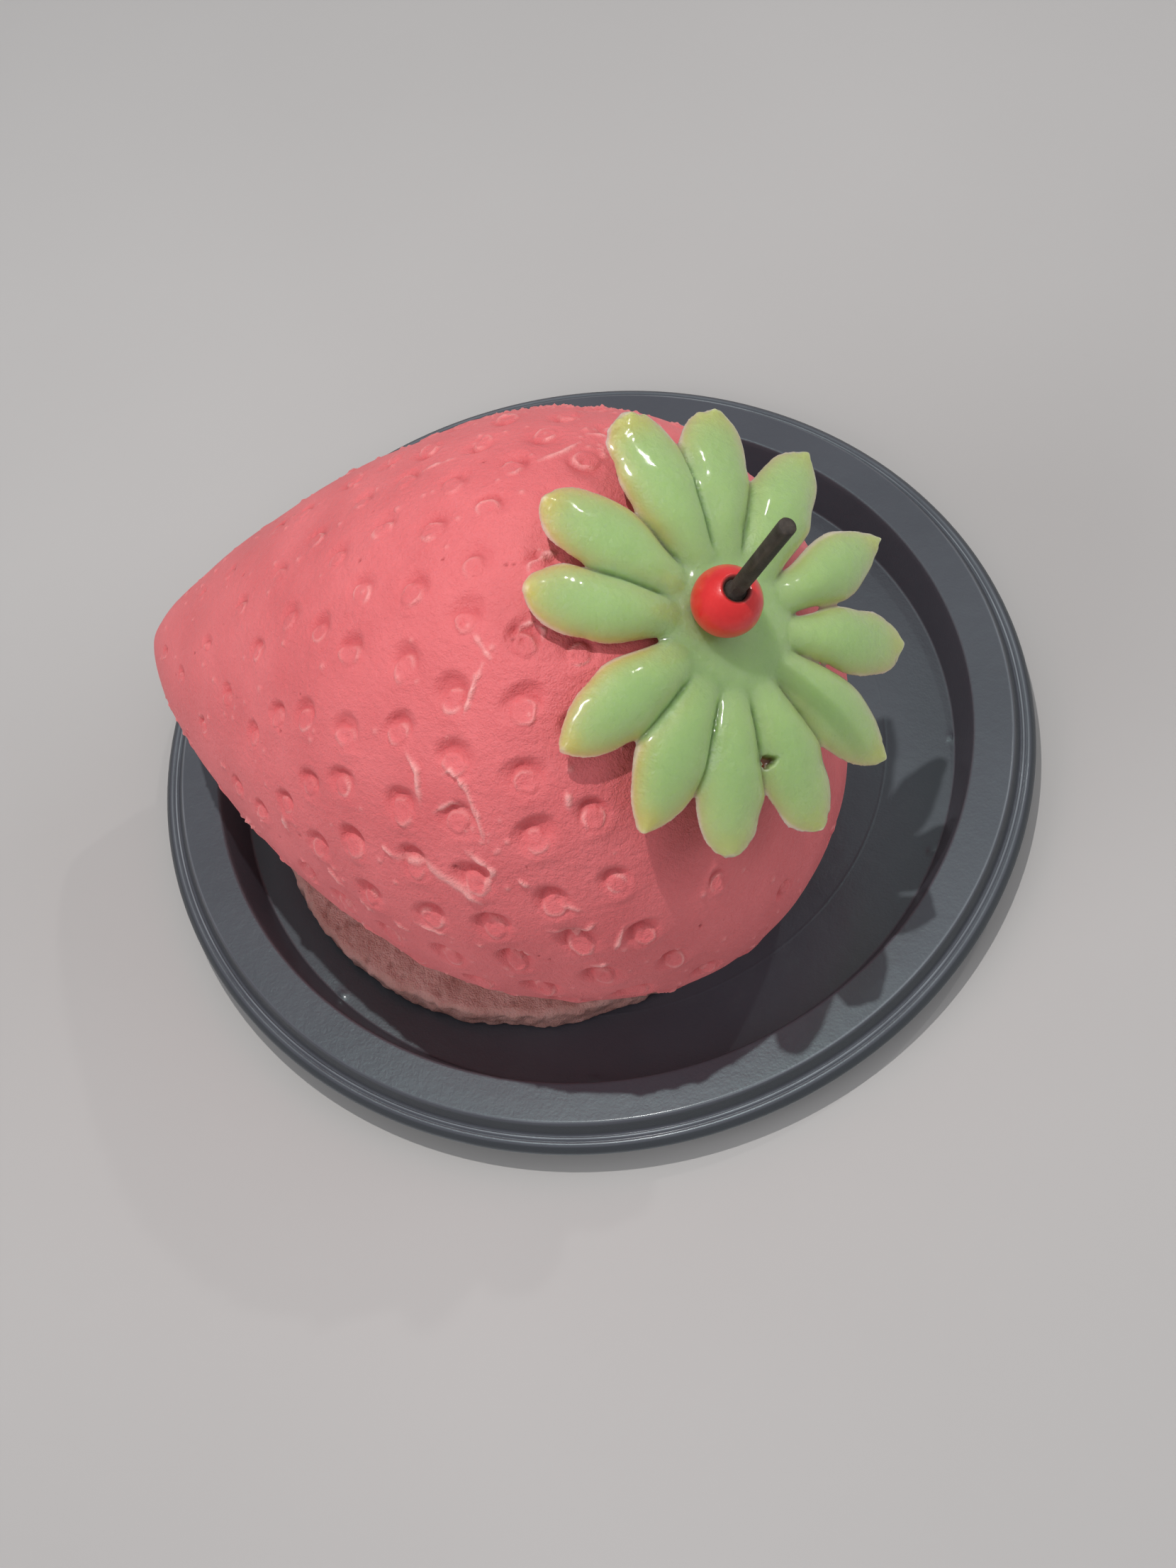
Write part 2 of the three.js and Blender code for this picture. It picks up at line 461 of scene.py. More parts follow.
def red_gloss():
    """Lacquered red bead, faintly scuffed, with painted shade darkening it in and round its bore.
    """
    material, tree, shader = new_material(
        "red_gloss", Specular_IOR_Level=0.4, Coat_Weight=0.5, Coat_Roughness=0.07
    )
    colour, mask = mottled(
        tree, (0.6, 0.014, 0.016), (0.76, 0.03, 0.03), blotch=260, speck=3000, share=0.3
    )
    scuffs = place_group(tree, SCUFFS, Smear_Scale=700, Patch_Scale=250)
    colour = tinted(tree, colour, scuffs.outputs["Mask"], 0.25, (0.8, 0.12, 0.1))
    # Painted shade in and round the bore.
    colour = tinted(tree, colour, "bore", 1.0, (0.12, 0.035, 0.03))
    tree.links.new(colour, shader.inputs["Base Color"])
    add_roughness(tree, shader, mask, 0.3, 0.42)
    add_grain(tree, shader, coarse=900, fine=3500, share=0.3, depth=0.00005)
    return material


def stained_wood():
    """Black-brown stained stick with its grain along its length."""
    material, tree, shader = new_material("stained_wood", Specular_IOR_Level=0.35)
    colour, mask = mottled(
        tree, (0.022, 0.017, 0.014), (0.06, 0.05, 0.042), blotch=700, speck=4000, share=0.5
    )
    colour = tinted(tree, colour, "fibre", 0.6, (0.1, 0.075, 0.055))
    tree.links.new(colour, shader.inputs["Base Color"])
    add_roughness(tree, shader, mask, 0.6, 0.8)
    add_grain(tree, shader, coarse=2500, fine=7000, share=0.5, depth=0.00006)
    return material


def baked_biscuit():
    """Pinkish-brown crumb, with painted shade in its pores."""
    material, tree, shader = new_material(
        "baked_biscuit", Specular_IOR_Level=0.2, Subsurface_Weight=0.1, Subsurface_Scale=0.001
    )
    colour, mask = mottled(
        tree, (0.51, 0.25, 0.22), (0.66, 0.36, 0.325), blotch=260, speck=2600, share=0.6
    )
    # Painted shade in the pores.
    colour = tinted(tree, colour, "pore", 0.5, (0.33, 0.16, 0.14))
    tree.links.new(colour, shader.inputs["Base Color"])
    add_roughness(tree, shader, mask, 0.8, 0.95)
    add_grain(tree, shader, coarse=1200, fine=4500, share=0.8, depth=0.0002)
    return material


def black_tray_plastic():
    """Satin pressed plastic with faint scuffs, painted highlights along its folded edges and
    painted shade on its steep outer sides.
    """
    material, tree, shader = new_material(
        "black_tray_plastic",
        Specular_IOR_Level=0.78,
        Specular_Tint=(0.7, 0.98, 1.0, 1.0),
        Coat_Weight=0.35,
        Coat_Roughness=0.16,
    )
    colour, mask = mottled(
        tree, (0.057, 0.052, 0.066), (0.069, 0.064, 0.08), blotch=45, speck=1800, share=0.3
    )
    scuffs = place_group(tree, SCUFFS, Smear_Scale=260, Patch_Scale=40)
    colour = tinted(tree, colour, scuffs.outputs["Mask"], 0.25, (0.1, 0.11, 0.12))
    # Painted shade on the steep outer sides.
    colour = tinted(tree, colour, "side", 0.85, (0.026, 0.023, 0.028))
    # Painted highlight lines along the folded edges.
    colour = tinted(tree, colour, "fold_highlight", 0.8, (0.34, 0.37, 0.4))
    tree.links.new(colour, shader.inputs["Base Color"])
    shine = math_node(tree, "MULTIPLY", mask_of(tree, "fold_highlight"), 0.2)
    add_roughness(tree, shader, mask, 0.44, 0.5, shine)
    add_grain(tree, shader, coarse=600, fine=3000, share=0.6, depth=0.00005)
    return material


# -------- mousse body

FRUIT_LENGTH = 87.0
FRUIT_HALF_WIDTH = 34.7
FRUIT_HEIGHT_RATIO = 1.04
FRUIT_WIDEST = 0.35
FRUIT_WIDEST_POINT = np.array([4.7, -12.8, 34.3])
FRUIT_SLOPE = -12.3 * DEG
FRUIT_BEND = 28.5 * DEG
POLE_ROUNDNESS = 2.54
TIP_ROUNDNESS = 1.66
TIP_SLIMNESS = 0.76

# Rings of seed dimples, from the leafy end to the tip: share of the length, number round the
# ring, turn of one of them in degrees (90 is the top, 180 the front), and size.
SEED_RINGS = (
    (0.040, 9, 100, 0.6),
    (0.118, 22, 161, 0.85),
    (0.186, 28, 110, 1.0),
    (0.281, 32, 99, 0.97),
    (0.370, 30, 93, 0.92),
    (0.468, 29, 104, 0.88),
    (0.549, 23, 112, 0.82),
    (0.616, 17, 110, 0.76),
    (0.678, 17, 118, 0.66),
    (0.745, 13, 104, 0.6),
    (0.815, 12, 118, 0.52),
    (0.875, 9, 92, 0.46),
    (0.930, 7, 128, 0.4),
)

# Raised lines where the coating folded or ran: (share, turn) of a few points, width and height.
COATING_RIDGES = (
    (((0.24, 116), (0.255, 121), (0.265, 125)), 0.3, 0.5),
    (((0.36, 131), (0.34, 135), (0.34, 141)), 0.28, 0.46),
    (((0.3, 135), (0.285, 134), (0.265, 137), (0.255, 142), (0.25, 148)), 0.24, 0.46),
    (((0.32, 142), (0.29, 140), (0.26, 142)), 0.26, 0.46),
    (((0.28, 149), (0.25, 153), (0.27, 157)), 0.3, 0.36),
    (((0.4, 152), (0.35, 152), (0.31, 156), (0.28, 160)), 0.5, 0.3),
    (((0.21, 168), (0.18, 171), (0.15, 169)), 0.26, 0.42),
    (((0.55, 163), (0.53, 167)), 0.4, 0.5),
    (((0.29, 173), (0.25, 175)), 0.28, 0.4),
    (((0.4, 168), (0.37, 168), (0.35, 170)), 0.26, 0.42),
    (((0.44, 170), (0.42, 172)), 0.26, 0.4),
    (((0.5, 168), (0.48, 170)), 0.28, 0.38),
    (((0.19, 181), (0.17, 182)), 0.26, 0.4),
    (((0.13, 173), (0.15, 178)), 0.24, 0.36),
    (((0.18, 163), (0.16, 165)), 0.26, 0.4),
    (((0.22, 155), (0.21, 157)), 0.3, 0.46),
    (((0.14, 139), (0.14, 142)), 0.34, 0.5),
    (((0.42, 150), (0.4, 152)), 0.26, 0.38),
    (((0.62, 155), (0.62, 159)), 0.32, 0.44),
    (((0.74, 174), (0.75, 182)), 0.3, 0.4),
    (((0.26, 111), (0.23, 115)), 0.24, 0.3),
    (((0.45, 76), (0.4, 74)), 0.3, 0.22),
    (((0.2, 111), (0.195, 109), (0.18, 108), (0.165, 109), (0.165, 111)), 0.24, 0.5),
    (((0.19, 96), (0.185, 95), (0.17, 94)), 0.4, 0.5),
    (((0.21, 82), (0.18, 85)), 0.34, 0.42),
    (((0.215, 62), (0.19, 60), (0.18, 64)), 0.36, 0.36),
    (((0.25, 74), (0.225, 70), (0.215, 66)), 0.3, 0.32),
    (((0.3, 205), (0.27, 208), (0.25, 214)), 0.3, 0.36),
    (((0.42, 30), (0.4, 36), (0.37, 38)), 0.3, 0.36),
)

# Places where the coating frayed into crumbs: (share, turn, number of crumbs, spread).
FRAYED_SPOTS = (
    (0.735, 176, 22, 0.8),
    (0.270, 41, 45, 2.4),
    (0.345, 44, 45, 2.6),
    (0.430, 48, 30, 2.2),
    (0.185, 66, 14, 1.2),
    (0.260, 146, 10, 1.2),
    (0.560, 178, 10, 1.4),
)

BUBBLE_PITS = 90
LOOSE_CRUMBS = 380

# Rows of points from end to end, and points round each row.
BODY_ROWS = 620
BODY_STEPS = 960


def fruit_radius(share):
    back = np.clip((FRUIT_WIDEST - share) / FRUIT_WIDEST, 0, 1)
    forward = np.clip((share - FRUIT_WIDEST) / (1 - FRUIT_WIDEST), 0, 1)
    near_pole = (1 - back**POLE_ROUNDNESS) ** (1 / POLE_ROUNDNESS)
    near_tip = (1 - forward**TIP_ROUNDNESS) ** TIP_SLIMNESS
    return FRUIT_HALF_WIDTH * np.where(share < FRUIT_WIDEST, near_pole, near_tip)


def fruit_point(share, turn):
    """Points of the plain fruit shape. turn is in radians: a quarter turn is its top."""
    share = np.asarray(share, float)
    rise = FRUIT_SLOPE + FRUIT_BEND * (share - FRUIT_WIDEST)
    arc = FRUIT_LENGTH / FRUIT_BEND
    along = -arc * (np.sin(rise) - math.sin(FRUIT_SLOPE))
    up = -arc * (np.cos(rise) - math.cos(FRUIT_SLOPE))
    radius = fruit_radius(share)
    lift = radius * FRUIT_HEIGHT_RATIO * np.sin(turn)
    x = along + lift * np.sin(rise)
    z = up + lift * np.cos(rise)
    return FRUIT_WIDEST_POINT + np.stack([x, radius * np.cos(turn), z], -1)


def distance_to_line(points, line):
    """Distance of each point to a line through a few points, and how far along it that is."""
    best = np.full(len(points), 1e9)
    where = np.zeros(len(points))
    for i, (a, b) in enumerate(zip(line, line[1:])):
        span = b - a
        share = np.clip(((points - a) @ span) / (span @ span), 0, 1)
        gap = np.linalg.norm(points - a - share[:, None] * span, axis=1)
        nearer = gap < best
        best[nearer] = gap[nearer]
        where[nearer] = (i + share[nearer]) / (len(line) - 1)
    return best, where


class FruitSkin:
    """The fruit's surface points, with the height and the masks that each mark adds to them."""

    def __init__(self):
        share = 0.5 - 0.5 * np.cos(math.pi * np.arange(1, BODY_ROWS) / BODY_ROWS)
        turn = 2 * math.pi * np.arange(BODY_STEPS) / BODY_STEPS
        self.share = share
        grid = fruit_point(share[:, None], turn[None, :])
        along = np.gradient(grid, axis=0)
        around = np.roll(grid, -1, axis=1) - np.roll(grid, 1, axis=1)
        normal = unit(np.cross(along, around))
        self.points = grid.reshape(-1, 3)
        self.normals = normal.reshape(-1, 3)
        self.height = np.zeros(len(self.points))
        self.masks = {name: np.zeros(len(self.points)) for name in ("ridge", "dip_shade", "pit_shade")}

    def near(self, share, centre, reach):
        """Numbers of the points within reach of a centre that lies at this share of the length."""
        shortest_length = 0.75 * FRUIT_LENGTH  # on the inner side of the bend
        window = reach / shortest_length
        first = np.searchsorted(self.share, share - window) * BODY_STEPS
        last = np.searchsorted(self.share, share + window) * BODY_STEPS
        gap = ((self.points[first:last] - centre) ** 2).sum(axis=1)
        return first + np.nonzero(gap < reach * reach)[0]

    def mark(self, name, spots, value):
        """Raises a mask to this value where it is lower."""
        self.masks[name][spots] = np.maximum(self.masks[name][spots], value)

    def round_spot(self, share, turn, size):
        """Points near a small mark, and how many times its size they are from its middle."""
        centre = fruit_point(share, turn)
        spots = self.near(share, centre, 3 * size)
        return spots, np.linalg.norm(self.points[spots] - centre, axis=1) / size

    def seed_dimple(self, share, turn, size, random):
        """A dished dip holding a low seed, with a soft and broken rim round the seed; the dip
        carries painted shade and the rim is painted paler, partly as a highlight.
        """
        centre = fruit_point(share, turn)
        along = unit(fruit_point(share + 0.004, turn) - centre)
        around = unit(fruit_point(share, turn + 0.02) - centre)
        reach = 4.4
        spots = self.near(share, centre, reach * size)
        offset = self.points[spots] - centre
        x = (offset @ along) / size + random.normal(0, 0.1)
        downhill = 1 if math.cos(turn) < 0.3 else -1
        y = downhill * (offset @ around) / size
        angle = np.arctan2(y, x)
        first, second, third = random.uniform(0, 6, 3)
        wobble = 1 + 0.1 * np.cos(2 * angle + first) + 0.06 * np.cos(3 * angle + second)
        down = 1 - smooth_step(1.1, 2.7, np.hypot(x, y + 0.4) * wobble)
        upper_side = np.clip(0.6 - 0.28 * y, 0.12, 1.2)

        # The lower flank is dented more deeply than the back and the top.
        round_turn = turn % (2 * math.pi)
        flank = float(smooth_step(125 * DEG, 160 * DEG, round_turn))
        flat_top = 1 - float(smooth_step(95 * DEG, 128 * DEG, round_turn))
        scale_down = 1 - 0.5 * flat_top * float(math.sin(turn) > -0.5)
        depth = random.uniform(0.7, 1.0) * scale_down * (1 + 0.25 * flank)
        bulge = (random.uniform(0.06, 0.2) + 0.15 * flank) * np.exp(
            -(((y - 2.3) / 0.8) ** 2) - (x / 1.7) ** 2
        )

        inner = np.hypot(x * random.uniform(0.9, 1.15), y - 0.2)
        inner *= 1 + 0.13 * np.cos(angle + third) + 0.08 * np.cos(2 * angle + second)
        inner += 0.16 * lumps(self.points[spots], 0.9 * size, 77)
        edge = random.uniform(1.1, 1.4)
        seed = 1 - smooth_step(edge - 0.4, edge + 0.2, inner)
        broken = np.clip(
            0.45 + 0.75 * np.cos(angle * random.integers(1, 3) + random.uniform(0, 6)), 0, 1
        )
        rim = np.exp(-(((inner - edge) / 0.19) ** 2)) * broken
        nick_x, nick_y = random.uniform(-0.7, 0.7, 2)
        nick = np.exp(-((np.hypot(x - nick_x, y - nick_y) / 0.33) ** 2))
        nick *= random.uniform(0, 0.3) * seed
        uphill = np.clip(-(y - 0.2) / np.maximum(inner, 0.05), 0, 1)
        crescent = uphill**1.5 * np.exp(-(((inner - edge - 0.42) / 0.3) ** 2))
        seed_height = random.uniform(0.25, 0.5) * depth + 0.12 * flat_top
        rim_height = random.uniform(0.12, 0.4)
        self.height[spots] += size * (
            bulge + seed_height * seed + rim_height * rim - nick
            - 0.85 * depth * down * upper_side - 0.22 * crescent
        )
        # The seed's rim is painted paler and shinier, partly as a painted highlight.
        self.mark("ridge", spots, rim * random.uniform(0.25, 0.9))
        near_tip = float(smooth_step(0.68, 0.8, share))
        # Painted shade: the upper side of the dip and the crescent above the seed are darkened.
        shade = 0.45 * scale_down * down * (1 - seed) * upper_side + 0.9 * crescent
        # Painted shade in the crescents above the seeds near the tip.
        self.mark("pit_shade", spots, random.uniform(0.2, 0.8) * near_tip * crescent)
        self.mark("dip_shade", spots, np.clip(shade, 0, 1))

    def coating_ridge(self, marks, width, height, seed):
        line = np.array([fruit_point(share, turn * DEG) for share, turn in marks])
        middle_share = sum(share for share, _ in marks) / len(marks)
        reach = 14
        spots = self.near(middle_share, line.mean(axis=0), reach)
        wander = 0.22 * lumps(self.points[spots], 0.9, seed)
        gap, where = distance_to_line(self.points[spots], line)
        ends = smooth_step(0, 0.25, where) * smooth_step(0, 0.25, 1 - where)
        uneven = 0.7 + 0.3 * lumps(self.points[spots], 2.2, seed + 40)
        crest = np.exp(-(((gap + wander) / (width * (0.55 + 0.35 * ends))) ** 2))
        crest *= (0.3 + 0.7 * ends) * uneven
        self.height[spots] += 1.15 * height * crest
        # The crest is painted paler, partly as a painted highlight.
        self.mark("ridge", spots, np.clip(1.4 * crest, 0, 1))

    def bubble_pit(self, share, turn, size):
        spots, gap = self.round_spot(share, turn, size)
        hole = 1 - smooth_step(0.4, 1.2, gap)
        self.height[spots] -= 0.9 * size * hole
        # Painted shade in the bubble's hole.
        self.mark("pit_shade", spots, 0.8 * hole)

    def crumb(self, share, turn, size):
        spots, gap = self.round_spot(share, turn, size)
        mound = np.exp(-(gap**2))
        self.height[spots] += 0.75 * size * mound
        # Crumbs are painted paler, partly as a painted highlight.
        self.mark("ridge", spots, 0.5 * mound)


def random_place(random):
    """A share of the fruit's length and a turn round it, in radians."""
    return random.uniform(0.03, 0.96), random.uniform(0, 2 * math.pi)


def make_mousse_body(material):
    random = np.random.default_rng(31)
    skin = FruitSkin()
    for share, count, first, size in SEED_RINGS:
        for k in range(count):
            turn = (first + 360 * k / count) * DEG + random.normal(0, 0.012)
            skin.seed_dimple(share + random.normal(0, 0.0035), turn, size, random)
    for number, (marks, width, height) in enumerate(COATING_RIDGES):
        skin.coating_ridge(marks, width, height, 300 + number)
    for _ in range(BUBBLE_PITS):
        skin.bubble_pit(*random_place(random), random.uniform(0.14, 0.28))
    for _ in range(LOOSE_CRUMBS):
        skin.crumb(*random_place(random), random.uniform(0.16, 0.34))
    for share, turn, count, spread in FRAYED_SPOTS:
        for _ in range(count):
            at = share + spread * random.normal(0, 0.012)
            skin.crumb(at, (turn + spread * random.normal(0, 1.2)) * DEG, random.uniform(0.16, 0.3))
    points = skin.points
    skin.height += 0.3 * lumps(points, 15, 5) + 0.12 * lumps(points, 5.5, 9)
    skin.height += 0.016 * rough(points, 1.7, 23)
    raised = points + skin.normals * skin.height[:, None]

    # The mould's open side is cut flat where it meets the biscuit, with a soft edge.
    flat = node_box("mousse_body")[0][2]
    soft_edge = 0.3
    above = raised[:, 2] - flat
    raised[:, 2] = flat + 0.5 * (above + np.sqrt(above**2 + soft_edge**2))

    all_points = np.vstack([fruit_point(0.0, 0.0), raised, fruit_point(1.0, 0.0)])
    faces = capped_faces(BODY_ROWS - 1, BODY_STEPS)
    masks = {name: np.concatenate([[0], values, [0]]) for name, values in skin.masks.items()}
    return store("mousse_body_skin", all_points, faces, material, masks)


# -------- calyx

CALYX_CENTRE = np.array([26.5, -13.9, 59.9])
CALYX_NORMAL = direction(-9.2, 48.9)
CALYX_DOWNHILL = unit(np.cross([0, 1, 0], CALYX_NORMAL))
CALYX_SIDEWAYS = np.cross(CALYX_NORMAL, CALYX_DOWNHILL)
CALYX_VOXEL = 0.21
SEAT_GAP = 0.08
SKIN_GAP = 0.12

# Each petal: direction in degrees from downhill, length, half-width, bluntness of its tip (2 is
# a leaf's point, 4 a blunt end), sideways lean of the tip, and width of its foot.
PETALS = (
    (-37.2, 24.3, 4.4, 3.4, 0.9, 0.58),
    (-5.3, 25.0, 4.25, 2.6, -0.3, 0.56),
    (23.8, 24.9, 3.8, 3.8, 0.8, 0.52),
    (52.0, 25.7, 3.65, 2.2, 0.9, 0.58),
    (86.8, 24.8, 4.35, 2.4, -1.3, 0.66),
    (117.4, 24.4, 4.45, 3.8, -1.5, 0.62),
    (141.4, 24.8, 4.5, 4.0, -0.5, 0.62),
    (174.5, 23.9, 4.2, 3.3, 0.4, 0.58),
    (203.3, 23.3, 3.9, 3.4, -1.4, 0.64),
    (239.5, 24.0, 4.2, 2.2, 0.6, 0.64),
    (268.5, 24.4, 4.3, 2.1, 0.7, 0.6),
    (295.0, 24.4, 4.2, 3.6, 0.2, 0.6),
)

# A small tear in the groove between two petals.
TORN_SPOT = (14.8 * math.cos(-48 * DEG), 14.8 * math.sin(-48 * DEG))


def petal_width(share, half_width, bluntness, foot):
    """Half-width of a petal along its length: a narrow foot, a wide middle and a tapered tip."""
    rise = foot + (1 - foot) * smooth_step(0.3, 0.66, share)
    taper = np.clip((share - 0.6) / 0.4, 0, 1)
    return half_width * rise * (1 - taper**bluntness) ** (0.95 - 0.1 * bluntness)


def droop(radius):
    """Height of the star's middle surface: raised at the hub, lower at the tips."""
    return 1.1 - 0.0042 * radius**2


def petal_solid(heading, length, half_width, bluntness, lean, foot, random):
    rows, steps = 56, 36
    share = 1 - (1 - np.linspace(0.02, 0.9985, rows)) ** 1.15
    forward = np.array([math.cos(heading * DEG), math.sin(heading * DEG)])
    aside = np.array([-forward[1], forward[0]])
    along = share * length
    middle = along[:, None] * forward + lean * share[:, None] ** 3 * aside
    width = petal_width(share, half_width, bluntness, foot)
    edge_height = 1 - 0.55 * smooth_step(0.6, 1.0, share)
    top = 2.15 * edge_height * (1 + random.uniform(-0.06, 0.06))
    top *= 0.42 + 0.58 * smooth_step(0.2, 0.52, share)
    under = 0.75 * edge_height
    angle = 2 * math.pi * np.arange(steps) / steps
    across = np.cos(angle)
    bulge = np.abs(np.sin(angle))
    height = np.where(
        np.sin(angle) > 0, top[:, None] * bulge**1.5, -under[:, None] * bulge**0.8
    )
    marks = np.linspace(0.35, 1.0, 8)
    one_side, other_side = (
        width * (1 + np.interp(share, marks, random.normal(0, 0.05, len(marks))))
        for _ in range(2)
    )
    side_width = np.where(across > 0, one_side[:, None], other_side[:, None])
    flat = middle[:, None, :] + (side_width * across)[..., None] * aside
    tilt = random.normal(0, 0.018) * width[:, None] * across
    points = np.concatenate([flat, (height + tilt + droop(along)[:, None])[..., None]], axis=-1)
    foot_end, tip_end = points[0].mean(axis=0), points[-1].mean(axis=0)
    return np.vstack([foot_end, points.reshape(-1, 3), tip_end]), capped_faces(rows, steps)


def hub_solid():
    """The round middle of the star, which the petals grow out of."""
    profile = rounded(
        [(0, -2.9), (5.0, -2.6), (7.6, -1.2), (8.8, -0.4), (8.0, 0.6), (5.6, 1.35), (0, 1.65)], 1.8
    )
    lift = [(r, z + droop(r)) for r, z in profile]
    steps = 96
    inner = turned_points(lift[1:-1], steps)
    made = np.vstack([[0, 0, lift[0][1]], inner, [0, 0, lift[-1][1]]])
    return made, capped_faces(len(lift) - 2, steps)


def star_masks(points):
    """Masks for painted light on the star: a highlight on its rim, light through its thin parts and
    pink bounce from the fruit, and shade in its grooves and its tear.
    """
    radius = np.hypot(points[:, 0], points[:, 1])
    inside = []
    for heading, length, half_width, bluntness, lean, foot in PETALS:
        turn = heading * DEG
        along = points[:, 0] * math.cos(turn) + points[:, 1] * math.sin(turn)
        share = np.clip(along / length, 0, 1)
        aside = -points[:, 0] * math.sin(turn) + points[:, 1] * math.cos(turn) - lean * share**3
        width = petal_width(share, half_width, bluntness, foot)
        depth = np.minimum(width - np.abs(aside), (length - along) * 0.8)
        inside.append(np.where(along > 1, depth, -9))
    inside = np.sort(np.array(inside), axis=0)
    first, second = inside[-1], inside[-2]
    outer = smooth_step(8, 12, radius)
    free = 1 - smooth_step(-0.7, 0.1, second)
    # A painted highlight along the petals' rim.
    rim = np.exp(-((np.maximum(first, 0) / 0.2) ** 2)) * free * outer
    # Where the gel is thin: painted light shining through it.
    thin = np.exp(-np.maximum(first, 0) / 0.65) * free * outer
    thin = np.maximum(thin, 0.6 * smooth_step(20.5, 24, radius))
    heading = np.degrees(np.arctan2(points[:, 1], points[:, 0])) % 360
    over_fruit = smooth_step(120, 165, heading) * (1 - smooth_step(262, 290, heading))
    # Painted pink-orange bounce light on the thin edges over the fruit.
    fruit_bounce_glow = thin * over_fruit
    # Painted shade in the grooves between petals.
    groove = np.exp(-(((first - second) / 0.45) ** 2)) * smooth_step(7.5, 9.5, radius)
    groove *= smooth_step(-0.9, 0.1, second)
    # The tear's mask: darkened as painted shade inside it.
    from_tear = points[:, :2] - TORN_SPOT
    corner = 1 + 0.22 * np.cos(3 * np.arctan2(from_tear[:, 1], from_tear[:, 0]) + 0.8)
    torn = np.hypot(from_tear[:, 0], from_tear[:, 1]) * corner
    tear = 1 - smooth_step(0.5, 0.72, torn)
    return {"rim": rim, "thin": thin, "fruit_bounce_glow": fruit_bounce_glow, "groove": groove, "tear": tear}


def largest_part(count, edges):
    """Which points belong to the largest connected part; a remesh can leave tiny loose bits."""
    label = np.arange(count)
    while True:
        before = label.copy()
        lowest = label[edges].min(axis=1)
        np.minimum.at(label, edges[:, 0], lowest)
        np.minimum.at(label, edges[:, 1], lowest)
        label = label[label]
        if (label == before).all():
            return label == np.bincount(label).argmax()


def remeshed(name, solids, voxel, passes):
    """One smooth skin round several overlapping solids, as millimetre points and faces."""
    points, faces, start = [], [], 0
    for made, quads in solids:
        points.append(made)
        faces += [tuple(start + i for i in face) for face in outward(made, quads)]
        start += len(made)
    mesh = bpy.data.meshes.new(name)
    mesh.from_pydata(np.vstack(points).tolist(), [], faces)
    work = add_object(name, mesh)
    remesh = work.modifiers.new("join", "REMESH")
    remesh.mode = "VOXEL"
    remesh.voxel_size = voxel
    smooth = work.modifiers.new("soften", "SMOOTH")
    smooth.factor = 0.5
    smooth.iterations = passes
    bpy.context.view_layer.update()
    result = work.evaluated_get(bpy.context.evaluated_depsgraph_get()).data
    found = np.empty(len(result.vertices) * 3)
    result.vertices.foreach_get("co", found)
    edges = np.empty(len(result.edges) * 2, dtype=np.int32)
    result.edges.foreach_get("vertices", edges)
    kept = largest_part(len(result.vertices), edges.reshape(-1, 2))
    number = np.cumsum(kept) - 1
    polygons = [
        tuple(int(number[i]) for i in face.vertices)
        for face in result.polygons
        if kept[face.vertices[0]]
    ]
    bpy.data.objects.remove(work)
    return found.reshape(-1, 3)[kept], polygons


def make_calyx(material, body, bead_centre, bead_radius):
    random = np.random.default_rng(12)
    solids = [hub_solid()] + [petal_solid(*petal, random) for petal in PETALS]
    points, faces = remeshed("star", solids, CALYX_VOXEL, 5)
    masks = star_masks(points)

    # Ragged trimmed tips and a slightly uneven poured surface.
    radius = np.hypot(points[:, 0], points[:, 1])
    tip = smooth_step(21.5, 24, radius)
    points[:, :2] *= (1 - 0.008 * tip * (1 + lumps(points, 0.8, 41)))[:, None]
    points[:, 2] += 0.05 * lumps(points, 2.6, 43) + 0.03 * lumps(points, 1.0, 47)
    on_top = points[:, 2] > droop(radius) + 0.1
    points[:, 2] -= on_top * (1.3 * masks["tear"] + 0.3 * masks["groove"])

    basis = np.stack([CALYX_DOWNHILL, CALYX_SIDEWAYS, CALYX_NORMAL])
    placed = points @ basis + CALYX_CENTRE

    # The hub is dished where the bead sits in it.
    from_bead = placed - bead_centre
    gap = np.linalg.norm(from_bead, axis=1)
    seated = gap < bead_radius + SEAT_GAP
    placed[seated] = bead_centre + unit(from_bead[seated]) * (bead_radius + SEAT_GAP)

    # Lift whatever would sink into the fruit until it just clears the skin.
    tree = BVHTree.FromObject(body, bpy.context.evaluated_depsgraph_get())
    upper_side = 1.2
    for i in np.nonzero(points[:, 2] <= upper_side)[0]:
        place = Vector(placed[i]) * MM
        spot, normal, _, gap = tree.find_nearest(place)
        depth = SKIN_GAP - math.copysign(gap / MM, (place - spot).dot(normal))
        if depth > 0:
            placed[i] += np.array(normal) * depth
    return store("calyx_star", placed, faces, material, masks)


# -------- bead and pick

PICK_AXIS = direction(-12, 66)
PICK_RADIUS = 0.9
PICK_ABOVE = 18.5
PICK_BELOW = 30.0


def make_bead(material, centre, radius):
    """A ball with a bore along the pick, its mouths rounded over by the flare."""
    bore, flare = 1.2, 0.5
    start = math.asin((bore + flare) / radius)
    outside = [
        (radius * math.sin(a), radius * math.cos(a))
        for a in np.linspace(start, math.pi - start, 72)
    ]
    top = outside[0][1]
    steps = 96
    lip = [
        (bore + flare * (1 - math.cos(a)), top - flare * 1.1 * (1 - math.sin(a)))
        for a in np.linspace(0, math.pi / 2, 8)
    ]
    profile = lip + outside[1:-1] + [(r, -z) for r, z in lip[::-1]]
    flat = turned_points(profile, steps)
    faces = band_faces(len(profile), steps)
    last = (len(profile) - 1) * steps
    faces += [(last + k, k, (k + 1) % steps, last + (k + 1) % steps) for k in range(steps)]
    gap = np.hypot(flat[:, 0], flat[:, 1])
    # Where the bead is painted dark as shade, in and round its bore.
    near_bore = 1 - smooth_step(bore + 0.15, bore + 0.5, gap)
    flat += 0.03 * lumps(flat, 1.8, 61)[:, None] * unit(flat)
    points = along_axis(flat, PICK_AXIS, centre)
    return store("bead_ball", points, faces, material, {"bore": near_bore})


